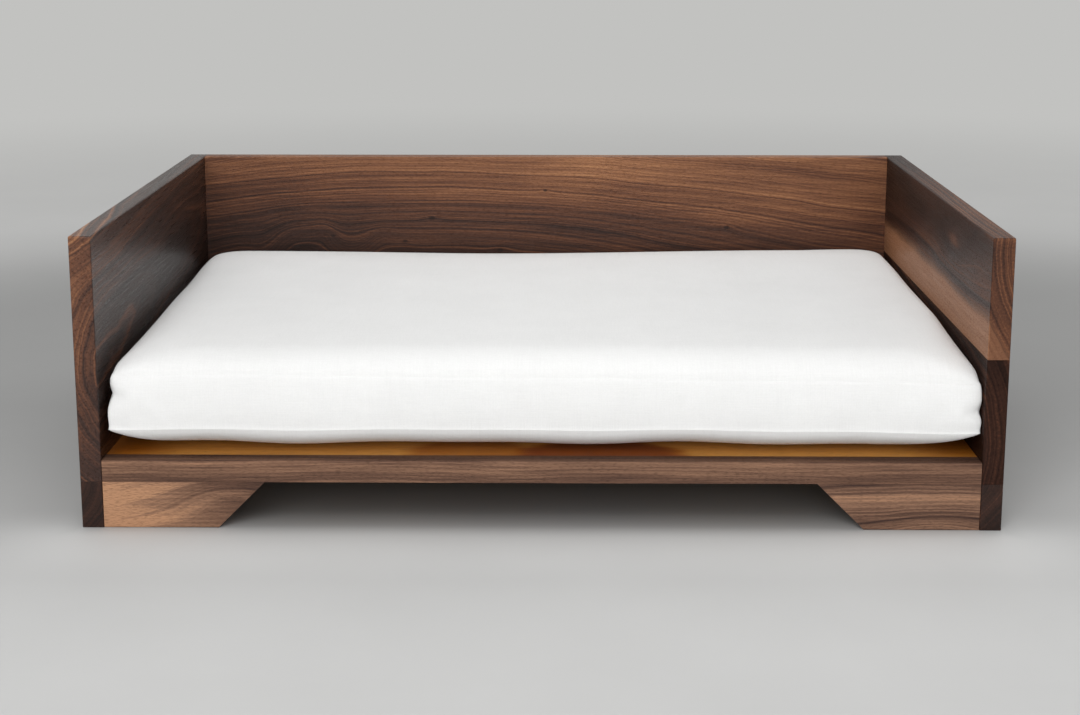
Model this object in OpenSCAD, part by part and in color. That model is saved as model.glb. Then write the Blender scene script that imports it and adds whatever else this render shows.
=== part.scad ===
// Dog sofa bed: a low walnut frame with three raised sides on bracket feet, a plywood deck,
// and a boxed cushion that lifts out and closes with a zip along its rear side.
// The origin is the centre of the footprint on the floor. X is the width, -Y the front, +Z up.

/* [Frame] */
// Width over the side panels
body_w = 787; // [700:1:900]
// Depth from front to back
body_d = 508; // [480:1:600]
// Height of the top edges above the floor
body_h = 254; // [235:1:300]
// Thickness of the walnut boards
board_t = 19; // [18:0.5:21]
// Height of the rail along the deck's front edge
rail_h = 19; // [18:0.5:22]
// Height of the lower of the two boards that make the right side
lower_board_h = 109; // [100:1:120]
// Flat on each eased edge
edge_ease = 1; // [0.5:0.1:1.5]

/* [Deck] */
// Thickness of the plywood deck
deck_t = 18; // [15:0.5:18.5]
// Step from the rail's top down to the deck
deck_step = 0.5; // [0.3:0.1:1]

/* [Feet] */
// Height of the bracket feet
foot_h = 41; // [38:1:50]
// Length of a foot along the floor, from the outer corner
foot_floor_l = 117; // [110:1:125]
// Length of a foot along its top, from the outer corner
foot_top_l = 158; // [150:1:170]
// Leg of the three-cornered block behind each pair of feet
block_leg = 60; // [55:1:70]
// Gap between a corner block and the floor
block_lift = 3; // [2:0.5:5]

/* [Dowels and screws] */
// Diameter of the dowels
dowel_d = 8; // [6:1:8]
// Length of the dowels
dowel_l = 30; // [28:1:32]
// Depth of a dowel in the thinner of the two boards it joins
dowel_bite = 11; // [9:0.5:12]
// Diameter of the screws' shanks
screw_d = 4; // [3.5:0.1:4.2]
// Length of a pocket screw under its head
pocket_screw_l = 32; // [30:1:33]
// Length of a corner block screw under its head
block_screw_l = 45; // [43:1:47]
// Slope of the pocket screws
pocket_slope = 15; // [14:0.5:16]

/* [Cushion] */
// Width of the cushion along its seams
cushion_w = 738; // [640:1:738]
// Depth of the cushion along its seams
cushion_d = 471; // [430:1:471]
// Distance of the cushion's front seam behind the frame's front
front_setback = 5.5; // [5:0.5:10]
// Height of the lower seam above the deck
seam_lift = 26; // [20:1:30]
// Height of the boxing between the two seams
boxing_h = 44.5; // [42:0.5:50]
// Rise of the top panel above the upper seam
top_rise = 23.5; // [15:0.5:26]
// Further rise of the top panel at its middle
middle_rise = 1.5; // [0:0.5:4]
// Radius of the cushion's corners, seen from above
corner_r = 18; // [14:1:24]
// How far the seams pull in between the corners
seam_draw = 4; // [1:0.5:6]
// How far the boxing swells out between its seams
boxing_swell = 2.5; // [1:0.5:3]
// Thickness of the cover's cloth
cover_t = 1.2; // [1:0.1:1.5]
// Thickness of the foam slab
foam_t = 50; // [44:1:54]

/* [Zip] */
// Length of the zip's chain
chain_l = 600; // [500:10:600]
// Width of the zip's chain
chain_w = 5.6; // [5:0.1:6]
// Length of the zip's pull
pull_l = 20; // [16:1:22]

/* [Hidden] */

// Colours
walnut = "#6b4b39";
dark_walnut = "#4c3a33";
tan_walnut = "#96704f";
plywood = "#a67c48";
pine = "#c8a877";
beech = "#c9a074";
zinc = "#b8b6ae";
cream_cloth = "#f2f1ec";
foam_white = "#efe9d2";
fibre_white = "#fafafa";

// Frame
half_w = body_w / 2;
half_d = body_d / 2;
inner_x = half_w - board_t;
inner_y = half_d - board_t;
rail_top = foot_h + rail_h;
deck_top = rail_top - deck_step;
deck_under = deck_top - deck_t;
glue_line = foot_h + lower_board_h;
over = 1; // how far a cutter runs past the face that it opens
glue = 0.05; // room round a dowel or a shank in its hole
small_sides = 16; // facets of shanks, dowels and their holes
wide_sides = 24; // facets of screw heads, the bores for them and the pull's round end
foam_sides = 32; // facets of the foam's corners, if they went all the way round

// Dowels: their places, as shares of the board's height or of the foot's length
back_dowel_shares = [0.12, 0.37, 0.63, 0.88];
foot_dowel_places = [40, 110];
hole_r = dowel_d / 2 + glue;
hole_relief = 0.5; // space past a dowel's end

// Screws
shank_r = screw_d / 2;
head_r = 4.4;
head_t = 2;
point_l = 4;
drive_w = 2.6;
drive_depth = 1.3;
pocket_r = 4.8;
pocket_seat = 16; // from the deck's edge back to the screw head's seat, along the screw
pocket_run = 45; // length of the pocket behind its seat
side_screw_places = [-150, 0, 150];
back_screw_places = [-260, -87, 87, 260];
block_screw_places = [[16, 34], [34, 16]];
counterbore = 4;

// Cushion: seams, shoulders and the grid of its surface
cushion_half_w = cushion_w / 2;
cushion_half_d = cushion_d / 2;
cushion_y = -half_d + front_setback + cushion_half_d;
rest_gap = 0.3; // room between the cushion and the deck
low_seam = deck_top + seam_lift;
high_seam = low_seam + boxing_h;
top_reach = 40; // from the upper seam in to where the top panel lies flat
bottom_reach = 95; // from the lower seam in to where the bottom panel meets the deck
bottom_drop = seam_lift - rest_gap;
middle_inset = 120;
draw_fade = 70; // distance inward over which the pull of the seams fades
least_r = 3;
corner_steps = 3;
long_steps = 8;
short_steps = 5;
stations = 4 * (corner_steps + 1) + 2 * (long_steps - 1) + 2 * (short_steps - 1);
top_angles = [0, 15, 30, 50, 70, 90];
bottom_angles = [90, 60, 38, 18, 0];
boxing_shares = [0, 0.25, 0.5, 0.75, 1];
wrap_depth = 2.6; // from the cover's outside in to the wrap
foam_inset = 20;
foam_r = 20;
foam_low = low_seam + (boxing_h - foam_t) / 2;

// Zip: everything is set from the rear face of the cover
rear_face = cushion_y + cushion_half_d;
zip_z = low_seam + boxing_h / 2;
zip_strip_l = 2 * (cushion_half_w - corner_r);
channel_half = 4.5; // half of the open channel between the two strips
tape_t = 1;
tape_w = 14;
tape_l = chain_l + 30;
tape_edge = 0.3; // half of the slit between the two tapes
chain_proud = 0.6;
stop_l = 3;
stop_w = 6.6;
slider_l = 9;
slider_half_w = 4;
slider_wall = 0.9;
slider_play = 0.3;
slider_top = rear_face + 1.9;
bridge_l = 6;
bridge_w = 2;
bridge_leg = 1;
bridge_open = 1.6;
bridge_t = 0.9;
slider_x = chain_l / 2 - slider_l / 2 - 1;
hinge_y = slider_top + bridge_open / 2;
hinge_r = 0.6;
pull_t = 1;
pull_eye = [4.2, 3];
pull_arm = 1.1;
pull_tab_w = 6;

// Boards

// A board between its lowest and its highest corner
module board(low, high) {
    translate(low)
        cube(high - low);
}

// A bar with a diamond section, centred on an edge, that takes the edge off along one axis
module edge_bar(at, turn, length) {
    side = edge_ease * sqrt(2);
    translate(at)
        rotate(turn)
            rotate([45, 0, 0])
                cube([length, side, side], center = true);
}

along_x = [0, 0, 0];
along_y = [0, 0, 90];
along_z = [0, 90, 0];

// The eased edges of one side of the bed: -1 for the left side, 1 for the right
module side_edges(side) {
    reach = 2 * (body_d + body_h);
    open_l = body_d - board_t;
    edge_bar([side * half_w, -half_d, 0], along_z, reach);
    edge_bar([side * inner_x, -half_d, 0], along_z, reach);
    edge_bar([side * half_w, half_d, 0], along_z, reach);
    edge_bar([side * half_w, 0, body_h], along_y, reach);
    edge_bar([side * inner_x, -half_d + open_l / 2, body_h], along_y, open_l);
    edge_bar([side * (inner_x + board_t / 2), -half_d, body_h], along_x, board_t + 2 * over);
    edge_bar([side * (inner_x + board_t / 2), half_d, body_h], along_x, board_t + 2 * over);
}

// A board of one side between two heights, with its edges eased and its holes bored
module side_board(side, low, high) {
    difference() {
        board(
            [min(side * inner_x, side * half_w), -half_d, low],
            [max(side * inner_x, side * half_w), half_d, high]
        );
        side_edges(side);
        at_back_dowels(side) dowel_hole();
        at_side_foot_dowels(side) dowel_hole();
        at_side_screws(side) pocket_pilot();
    }
}

module left_side_panel() {
    color(walnut) side_board(-1, foot_h, body_h);
}

module right_side_upper_board() {
    color(walnut) side_board(1, glue_line, body_h);
}

module right_side_lower_board() {
    color(dark_walnut) side_board(1, foot_h, glue_line);
}

module back_panel() {
    color(walnut) difference() {
        board([-inner_x, inner_y, foot_h], [inner_x, half_d, body_h]);
        edge_bar([0, inner_y, body_h], along_x, body_w);
        edge_bar([0, half_d, body_h], along_x, body_w);
        for (side = [-1, 1]) {
            at_back_dowels(side) dowel_hole();
        }
        at_cross_foot_dowels(1) dowel_hole();
        at_back_screws() pocket_pilot();
    }
}

module front_rail() {
    color(walnut) difference() {
        board([-inner_x, -half_d, foot_h], [inner_x, -inner_y, rail_top]);
        edge_bar([0, -half_d, rail_top], along_x, body_w);
        edge_bar([0, -half_d, foot_h], along_x, body_w - 2 * foot_top_l);
        at_cross_foot_dowels(-1) dowel_hole();
    }
}

module deck_panel() {
    color(plywood) difference() {
        board([-inner_x, -inner_y, deck_under], [inner_x, inner_y, deck_top]);
        for (side = [-1, 1]) {
            at_side_screws(side) pocket();
        }
        at_back_screws() pocket();
        at_block_screws()
            translate([0, 0, -over])
                cylinder(h = block_screw_l + over + glue, r = shank_r + glue, $fn = small_sides);
    }
}

// Feet

// The side view of a foot: its outer corner stands at the origin and its cut end slopes up
module foot_outline() {
    polygon([[0, 0], [foot_floor_l, 0], [foot_top_l, foot_h], [0, foot_h]]);
}

// A front or rear foot, between the two side feet: end is -1 at the front, 1 at the rear
module cross_foot(side, end) {
    difference() {
        intersection() {
            translate([side * half_w, end > 0 ? half_d : -inner_y, 0])
                mirror([side > 0 ? 1 : 0, 0, 0])
                    rotate([90, 0, 0])
                        linear_extrude(board_t)
                            foot_outline();
            board([-inner_x, -half_d, 0], [inner_x, half_d, foot_h]);
        }
        edge_bar([0, end * half_d, 0], along_x, body_w);
        at_cross_foot_dowels(end) dowel_hole();
    }
}

// A foot under a side panel, over the whole corner
module side_foot(side, end) {
    difference() {
        translate([side > 0 ? inner_x : -half_w, end * half_d, 0])
            mirror([0, end > 0 ? 1 : 0, 0])
                rotate([90, 0, 90])
                    linear_extrude(board_t)
                        foot_outline();
        side_edges(side);
        at_side_foot_dowels(side) dowel_hole();
    }
}

module front_left_foot() {
    color(tan_walnut) cross_foot(-1, -1);
}

module front_right_foot() {
    color(walnut) cross_foot(1, -1);
}

module rear_left_foot() {
    color(walnut) cross_foot(-1, 1);
}

module rear_right_foot() {
    color(walnut) cross_foot(1, 1);
}

module front_left_side_foot() {
    color(dark_walnut) side_foot(-1, -1);
}

module front_right_side_foot() {
    color(dark_walnut) side_foot(1, -1);
}

module rear_left_side_foot() {
    color(walnut) side_foot(-1, 1);
}

module rear_right_side_foot() {
    color(walnut) side_foot(1, 1);
}

// A three-cornered block glued into the corner behind a pair of feet
module corner_block(side, end) {
    color(pine) difference() {
        translate([side * inner_x, end * inner_y, block_lift])
            scale([-side, -end, 1])
                linear_extrude(deck_under - block_lift)
                    polygon([[0, 0], [block_leg, 0], [0, block_leg]]);
        at_block_screws()
            translate([0, 0, -counterbore - over]) {
                cylinder(h = counterbore + over, r = pocket_r, $fn = wide_sides);
                cylinder(h = body_h, r = shank_r + glue, $fn = small_sides);
            }
    }
}

module front_left_corner_block() {
    corner_block(-1, -1);
}

module front_right_corner_block() {
    corner_block(1, -1);
}

module rear_left_corner_block() {
    corner_block(-1, 1);
}

module rear_right_corner_block() {
    corner_block(1, 1);
}

// Dowels and their holes

// A vertical hole across a joint, bored for a foot's dowel with the joint at the origin
module dowel_hole() {
    translate([0, 0, dowel_bite - dowel_l - hole_relief])
        cylinder(h = dowel_l + 2 * hole_relief, r = hole_r, $fn = small_sides);
}

// A dowel across the same joint
module dowel() {
    translate([0, 0, dowel_bite - dowel_l])
        cylinder(h = dowel_l, r = dowel_d / 2, $fn = small_sides);
}

// What is given, at each dowel between the back panel and one side, turned along the dowel
module at_back_dowels(side) {
    for (share = back_dowel_shares) {
        translate([side * inner_x, half_d - board_t / 2, foot_h + share * (body_h - foot_h)])
            rotate([0, side * 90, 0])
                children();
    }
}

// What is given, at each dowel between one side and its feet
module at_side_foot_dowels(side) {
    for (end = [-1, 1], place = foot_dowel_places) {
        translate([side * (half_w - board_t / 2), end * (half_d - place), foot_h])
            children();
    }
}

// What is given, at each dowel over the front feet, -1, or the rear feet, 1
module at_cross_foot_dowels(end) {
    for (side = [-1, 1], place = foot_dowel_places) {
        translate([side * (half_w - place), end * (half_d - board_t / 2), foot_h])
            children();
    }
}

module back_panel_dowels() {
    color(beech) for (side = [-1, 1]) {
        at_back_dowels(side) dowel();
    }
}

module foot_dowels() {
    color(beech) for (side = [-1, 1]) {
        at_side_foot_dowels(side) dowel();
        at_cross_foot_dowels(side) dowel();
    }
}

// Screws and their holes

// A washer-head screw that points up, with the seat of its head at the origin
module screw(length) {
    difference() {
        union() {
            translate([0, 0, -head_t])
                cylinder(h = head_t, r = head_r, $fn = wide_sides);
            cylinder(h = length - point_l, r = shank_r, $fn = small_sides);
            translate([0, 0, length - point_l])
                cylinder(h = point_l, r1 = shank_r, r2 = shank_r / 4, $fn = small_sides);
        }
        translate([-drive_w / 2, -drive_w / 2, -head_t - over])
            cube([drive_w, drive_w, drive_depth + over]);
    }
}

// What is given, set along a pocket screw: the deck's edge is at the origin and faces +X
module along_pocket_screw() {
    rotate([0, 90 - pocket_slope, 0])
        translate([0, 0, -pocket_seat])
            children();
}

// The pocket and the shank's hole that are bored in the deck for one screw
module pocket() {
    along_pocket_screw() {
        translate([0, 0, -pocket_run])
            cylinder(h = pocket_run, r = pocket_r, $fn = wide_sides);
        translate([0, 0, -over])
            cylinder(h = pocket_seat + 2 * pocket_r, r = shank_r + glue, $fn = small_sides);
    }
}

// The shank's hole in the board that a pocket screw draws up to the deck
module pocket_pilot() {
    along_pocket_screw()
        cylinder(h = pocket_screw_l + hole_relief, r = shank_r + glue, $fn = small_sides);
}

// What is given, at each pocket screw of one side
module at_side_screws(side) {
    for (y = side_screw_places) {
        translate([side * inner_x, y, deck_under + deck_t / 2])
            rotate([0, 0, side > 0 ? 0 : 180])
                children();
    }
}

// What is given, at each pocket screw of the back
module at_back_screws() {
    for (x = back_screw_places) {
        translate([x, inner_y, deck_under + deck_t / 2])
            rotate([0, 0, 90])
                children();
    }
}

// What is given, at the seat of each screw through the corner blocks
module at_block_screws() {
    for (side = [-1, 1], end = [-1, 1], place = block_screw_places) {
        translate([
            side * (inner_x - place[0]),
            end * (inner_y - place[1]),
            block_lift + counterbore
        ])
            children();
    }
}

module deck_pocket_screws() {
    color(zinc) {
        for (side = [-1, 1]) {
            at_side_screws(side)
                along_pocket_screw()
                    screw(pocket_screw_l);
        }
        at_back_screws()
            along_pocket_screw()
                screw(pocket_screw_l);
    }
}

module corner_block_screws() {
    color(zinc) at_block_screws() screw(block_screw_l);
}

// Cushion surface

// Points of a quarter turn round a corner
function corner_run(centre, radius, start) =
    [for (i = [0:corner_steps])
        let (a = start + 90 * i / corner_steps)
        centre + radius * [cos(a), sin(a)]];

// Points between two corners, pulled in most at the middle
function side_run(from, to, steps, pull) =
    [for (i = [1:steps - 1])
        let (t = i / steps)
        from + (to - from) * t + pull * (4 * t * (1 - t))];

// The cushion's outline seen from above, anticlockwise from its rear right corner. It is drawn
// in by inset, or swells where inset is negative. The rear side has an inset of its own.
function outline(inset, rear_inset) =
    let (
        r = max(corner_r - inset, least_r),
        pull = seam_draw * max(0, 1 - max(inset, 0) / draw_fade),
        cx = cushion_half_w - inset - r,
        rear = cushion_half_d - rear_inset - r,
        front = cushion_half_d - inset - r
    )
    concat(
        corner_run([cx, rear], r, 0),
        side_run([cx, rear + r], [-cx, rear + r], long_steps, [0, 0]),
        corner_run([-cx, rear], r, 90),
        side_run([-cx - r, rear], [-cx - r, -front], short_steps, [pull, 0]),
        corner_run([-cx, -front], r, 180),
        side_run([-cx, -front - r], [cx, -front - r], long_steps, [0, pull]),
        corner_run([cx, -front], r, 270),
        side_run([cx + r, -front], [cx + r, rear], short_steps, [-pull, 0])
    );

// The outline at one height, as points in space
function ring(inset, rear_inset, z) =
    [for (p = outline(inset, rear_inset)) [p[0], p[1] + cushion_y, z]];

// Where a panel's shoulder runs, an angle round its quarter ellipse from the seam: how far in,
// and how far above or below the seam. A depth moves it into the cushion along its own normal.
function shoulder(angle, reach, rise, depth) =
    let (
        slope = [cos(angle) / reach, sin(angle) / rise],
        normal = slope / norm(slope)
    )
    [reach * (1 - cos(angle)) + depth * normal[0], rise * sin(angle) - depth * normal[1]];

// Rings of the top panel, from its seam to its middle
function top_rings(depth) = concat(
    [for (a = top_angles)
        let (s = shoulder(a, top_reach, top_rise, depth))
        ring(s[0], s[0], high_seam + s[1])],
    [ring(middle_inset, middle_inset, high_seam + top_rise + middle_rise / 2 - depth)]
);
function top_tip(depth) = [0, cushion_y, high_seam + top_rise + middle_rise - depth];

// Rings of the bottom panel, from its flat to its seam
function bottom_rings(depth) =
    [for (a = bottom_angles)
        let (s = shoulder(a, bottom_reach, bottom_drop, depth))
        ring(s[0], s[0], low_seam - s[1])];
function bottom_tip(depth) = [0, cushion_y, low_seam - bottom_drop + depth];

// Rings of the boxing, from the lower seam to the upper. The rear side, with the zip, is flat.
function boxing_rings(depth) =
    [for (v = boxing_shares)
        ring(depth - boxing_swell * sin(180 * v), depth, low_seam + v * boxing_h)];

// Faces: a ring's points run anticlockwise seen from above, and rings run from the bottom's
// middle round the edge to the top's middle, so that every band faces out

function band(low, high, closed = true, count = stations) =
    [for (i = [0:(closed ? count : count - 1) - 1])
        let (j = (i + 1) % count)
        each [[low + i, high + i, high + j], [low + i, high + j, low + j]]];
function top_cap(rim, tip) =
    [for (i = [0:stations - 1]) [rim + i, tip, rim + (i + 1) % stations]];
function flipped(faces) = [for (f = faces) [f[2], f[1], f[0]]];
function bands(first, rings, closed = true, count = stations) =
    [for (k = [0:rings - 2]) each band(first + k * count, first + (k + 1) * count, closed, count)];
function joined(rings) = [for (r = rings) each r];

// A panel of cloth through matching outer and inner rings. Its middle closes on a point, which
// comes after the last ring of a top panel and before the first ring of a bottom one.
module panel(outer, inner, outer_tip, inner_tip, is_top) {
    rings = len(outer);
    size = rings * stations;
    outer_end = is_top ? (rings - 1) * stations : 0;
    outer_seam = is_top ? 0 : (rings - 1) * stations;
    outer_cap = top_cap(outer_end, 2 * size);
    inner_cap = top_cap(size + outer_end, 2 * size + 1);
    seam = is_top
        ? band(size + outer_seam, outer_seam)
        : band(outer_seam, size + outer_seam);
    polyhedron(
        points = concat(joined(outer), joined(inner), [outer_tip, inner_tip]),
        faces = concat(
            bands(0, rings),
            is_top ? outer_cap : flipped(outer_cap),
            flipped(bands(size, rings)),
            is_top ? flipped(inner_cap) : inner_cap,
            seam
        ),
        convexity = 4
    );
}

// The part of a ring that runs round the left side, the front and the right side
first_station = corner_steps + 1 + long_steps - 1;
strip_stations = stations - (long_steps - 1);
function strip_part(ring) =
    [for (i = [0:strip_stations - 1]) ring[(first_station + i) % stations]];

// Faces across the two ends of an open strip
function strip_ends(rings, size, count) =
    [for (k = [0:rings - 2], last = [0, 1])
        let (
            low = k * count + last * (count - 1),
            high = low + count,
            quad = [high, low, size + low, size + high],
            q = last == 0 ? quad : [quad[3], quad[2], quad[1], quad[0]]
        )
        each [[q[0], q[1], q[2]], [q[0], q[2], q[3]]]];

// Cushion pieces

module foam_slab(grow) {
    w = cushion_w - 2 * foam_inset + 2 * grow;
    d = cushion_d - 2 * foam_inset + 2 * grow;
    translate([0, cushion_y, foam_low - grow])
        linear_extrude(foam_t + 2 * grow)
            union() {
                square([w - 2 * foam_r, d], center = true);
                square([w, d - 2 * foam_r], center = true);
                for (x = [-1, 1], y = [-1, 1]) {
                    translate([x * (w / 2 - foam_r), y * (d / 2 - foam_r)])
                        circle(foam_r, $fn = foam_sides);
                }
            }
}

module foam_core() {
    color(foam_white) foam_slab(0);
}

module fibre_wrap() {
    bottom = bottom_rings(wrap_depth);
    boxing = boxing_rings(wrap_depth);
    top = top_rings(wrap_depth);
    middle = [for (k = [1:len(boxing) - 2]) boxing[k]];
    rings = concat(bottom, middle, top);
    size = len(rings) * stations;
    color(fibre_white) difference() {
        polyhedron(
            points = concat(joined(rings), [bottom_tip(wrap_depth), top_tip(wrap_depth)]),
            faces = concat(
                flipped(top_cap(0, size)),
                bands(0, len(rings)),
                top_cap(size - stations, size + 1)
            ),
            convexity = 2
        );
        foam_slab(glue);
    }
}

module cover_top_panel() {
    color(cream_cloth)
        panel(top_rings(0), top_rings(cover_t), top_tip(0), top_tip(cover_t), true);
}

module cover_bottom_panel() {
    color(cream_cloth)
        panel(bottom_rings(0), bottom_rings(cover_t), bottom_tip(0), bottom_tip(cover_t), false);
}

module cover_boxing_strip() {
    outer = [for (r = boxing_rings(0)) strip_part(r)];
    inner = [for (r = boxing_rings(cover_t)) strip_part(r)];
    rings = len(outer);
    size = rings * strip_stations;
    top_row = size - strip_stations;
    color(cream_cloth) polyhedron(
        points = concat(joined(outer), joined(inner)),
        faces = concat(
            bands(0, rings, false, strip_stations),
            flipped(bands(size, rings, false, strip_stations)),
            band(top_row, size + top_row, false, strip_stations),
            band(size, 0, false, strip_stations),
            strip_ends(rings, size, strip_stations)
        ),
        convexity = 4
    );
}

// Zip pieces

// One of the two straight strips that hold the zip, between two heights
module zip_strip(low, high) {
    color(cream_cloth) board(
        [-zip_strip_l / 2, rear_face - cover_t, low],
        [zip_strip_l / 2, rear_face, high]
    );
}

module zip_upper_strip() {
    zip_strip(zip_z + channel_half, high_seam);
}

module zip_lower_strip() {
    zip_strip(low_seam, zip_z - channel_half);
}

module zip_tapes() {
    color(cream_cloth) for (half = [0, 1]) {
        translate([0, 0, zip_z])
            mirror([0, 0, half])
                board(
                    [-tape_l / 2, rear_face - cover_t - tape_t, tape_edge],
                    [tape_l / 2, rear_face - cover_t, tape_edge + tape_w]
                );
    }
}

// The closed chain: two flat coils side by side, with their backs on the tapes
module zip_chain() {
    edge = chain_proud;
    color(cream_cloth)
        translate([-chain_l / 2, 0, 0])
            rotate([90, 0, 90])
                linear_extrude(chain_l)
                    polygon([
                        [rear_face - cover_t, zip_z - chain_w / 2],
                        [rear_face, zip_z - chain_w / 2],
                        [rear_face + edge, zip_z - chain_w / 2 + edge],
                        [rear_face + edge, zip_z + chain_w / 2 - edge],
                        [rear_face, zip_z + chain_w / 2],
                        [rear_face - cover_t, zip_z + chain_w / 2]
                    ]);
}

module zip_end_stops() {
    color(zinc) for (end = [-1, 1]) {
        translate([end * (chain_l / 2 + stop_l / 2), rear_face - cover_t, zip_z])
            translate([-stop_l / 2, 0, -stop_w / 2])
                cube([stop_l, cover_t + 2 * chain_proud, stop_w]);
    }
}

// The slider's front shell over the chain, with the bridge that its pull hangs from
module zip_slider() {
    shell_low = rear_face - cover_t + slider_play;
    channel_top = rear_face + chain_proud + slider_play;
    inner_half = slider_half_w - slider_wall;
    color(zinc) translate([slider_x, 0, zip_z]) {
        difference() {
            board(
                [-slider_l / 2, shell_low, -slider_half_w],
                [slider_l / 2, slider_top, slider_half_w]
            );
            board(
                [-slider_l / 2 - over, shell_low - over, -inner_half],
                [slider_l / 2 + over, channel_top, inner_half]
            );
        }
        difference() {
            board(
                [-bridge_l / 2, slider_top, -bridge_w / 2],
                [bridge_l / 2, slider_top + bridge_open + bridge_t, bridge_w / 2]
            );
            board(
                [-bridge_l / 2 + bridge_leg, slider_top, -bridge_w],
                [bridge_l / 2 - bridge_leg, slider_top + bridge_open, bridge_w]
            );
        }
    }
}

// The pull: a bar under the bridge, two arms past it and a flat tab with a round end
module zip_pull() {
    eye_half = pull_eye[1] / 2;
    outer_half = eye_half + pull_arm;
    tab_r = pull_tab_w / 2;
    color(zinc) translate([slider_x, hinge_y, zip_z]) {
        translate([0, 0, -outer_half])
            cylinder(h = 2 * outer_half, r = hinge_r, $fn = small_sides);
        rotate([90, 0, 0])
            translate([0, 0, -pull_t / 2])
                linear_extrude(pull_t)
                    difference() {
                        union() {
                            translate([-pull_eye[0] - pull_arm, -outer_half])
                                square([pull_eye[0] + pull_arm, 2 * outer_half]);
                            translate([-pull_l + tab_r, -tab_r])
                                square([pull_l - tab_r - pull_eye[0], pull_tab_w]);
                            translate([-pull_l + tab_r, 0])
                                circle(tab_r, $fn = wide_sides);
                        }
                        translate([-pull_eye[0], -eye_half])
                            square([pull_eye[0] + over, 2 * eye_half]);
                    }
    }
}

left_side_panel();
right_side_upper_board();
right_side_lower_board();
back_panel();
front_rail();
deck_panel();
front_left_foot();
front_right_foot();
rear_left_foot();
rear_right_foot();
front_left_side_foot();
front_right_side_foot();
rear_left_side_foot();
rear_right_side_foot();
front_left_corner_block();
front_right_corner_block();
rear_left_corner_block();
rear_right_corner_block();
back_panel_dowels();
foot_dowels();
deck_pocket_screws();
corner_block_screws();
foam_core();
fibre_wrap();
cover_top_panel();
cover_bottom_panel();
cover_boxing_strip();
zip_upper_strip();
zip_lower_strip();
zip_tapes();
zip_chain();
zip_end_stops();
zip_slider();
zip_pull();
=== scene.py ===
import math

import bmesh
import bpy
import numpy as np
from mathutils import Matrix, Vector


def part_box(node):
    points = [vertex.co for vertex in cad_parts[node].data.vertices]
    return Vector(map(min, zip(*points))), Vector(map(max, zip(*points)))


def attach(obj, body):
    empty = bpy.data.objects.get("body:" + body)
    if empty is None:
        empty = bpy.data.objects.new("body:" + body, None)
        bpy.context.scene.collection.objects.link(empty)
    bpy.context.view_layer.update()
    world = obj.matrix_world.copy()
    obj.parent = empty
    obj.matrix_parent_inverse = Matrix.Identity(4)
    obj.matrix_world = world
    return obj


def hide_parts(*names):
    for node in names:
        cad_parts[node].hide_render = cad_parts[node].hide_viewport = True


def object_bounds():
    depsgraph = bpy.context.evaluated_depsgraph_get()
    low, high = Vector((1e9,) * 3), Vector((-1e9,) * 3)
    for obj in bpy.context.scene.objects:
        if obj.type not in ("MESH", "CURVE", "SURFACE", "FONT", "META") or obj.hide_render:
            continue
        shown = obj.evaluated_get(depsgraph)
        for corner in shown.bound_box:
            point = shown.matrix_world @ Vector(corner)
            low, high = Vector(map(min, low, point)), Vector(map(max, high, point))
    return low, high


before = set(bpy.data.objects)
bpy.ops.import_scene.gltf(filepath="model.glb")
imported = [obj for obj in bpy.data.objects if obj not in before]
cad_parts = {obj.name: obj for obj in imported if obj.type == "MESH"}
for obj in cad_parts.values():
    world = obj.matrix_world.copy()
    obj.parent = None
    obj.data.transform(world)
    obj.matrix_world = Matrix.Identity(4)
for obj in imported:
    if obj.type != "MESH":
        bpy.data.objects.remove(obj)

# The dog sofa bed's looks, lights and camera, in metres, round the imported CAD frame.

cad_low, cad_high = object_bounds()

# Camera: the pose and lens that lay the frame's corners over the photograph's
IMAGE_WIDTH = 1080
FOCAL_PIXELS = 1791
SHIFT_PIXELS = 90
SENSOR = 36.0
CAMERA_PLACE = (0.015, -1.714, 0.521)
CAMERA_PITCH = 11.33
CAMERA_YAW = 0.61


def add_object(name, data):
    thing = bpy.data.objects.new(name, data)
    bpy.context.scene.collection.objects.link(thing)
    return thing


def make_camera():
    data = bpy.data.cameras.new("camera")
    data.sensor_width = SENSOR
    data.lens = FOCAL_PIXELS / IMAGE_WIDTH * SENSOR
    data.shift_y = -SHIFT_PIXELS / IMAGE_WIDTH
    camera = add_object("camera", data)
    camera.location = CAMERA_PLACE
    camera.rotation_euler = (math.radians(90 - CAMERA_PITCH), 0, math.radians(CAMERA_YAW))
    bpy.context.scene.camera = camera


make_camera()


# Materials are built from nodes

class Value:
    """What a node gives at each point of a surface. A sum with it adds the nodes that do the sum."""

    def __init__(self, graph, socket):
        self.graph = graph
        self.socket = socket

    def __add__(self, other):
        return self.graph.math("ADD", self, other)

    def __sub__(self, other):
        return self.graph.math("SUBTRACT", self, other)

    def __rsub__(self, other):
        return self.graph.math("SUBTRACT", other, self)

    def __mul__(self, other):
        return self.graph.math("MULTIPLY", self, other)

    def __pow__(self, other):
        return self.graph.math("POWER", self, other)

    def __abs__(self):
        return self.graph.math("ABSOLUTE", self)

    __radd__ = __add__


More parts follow.
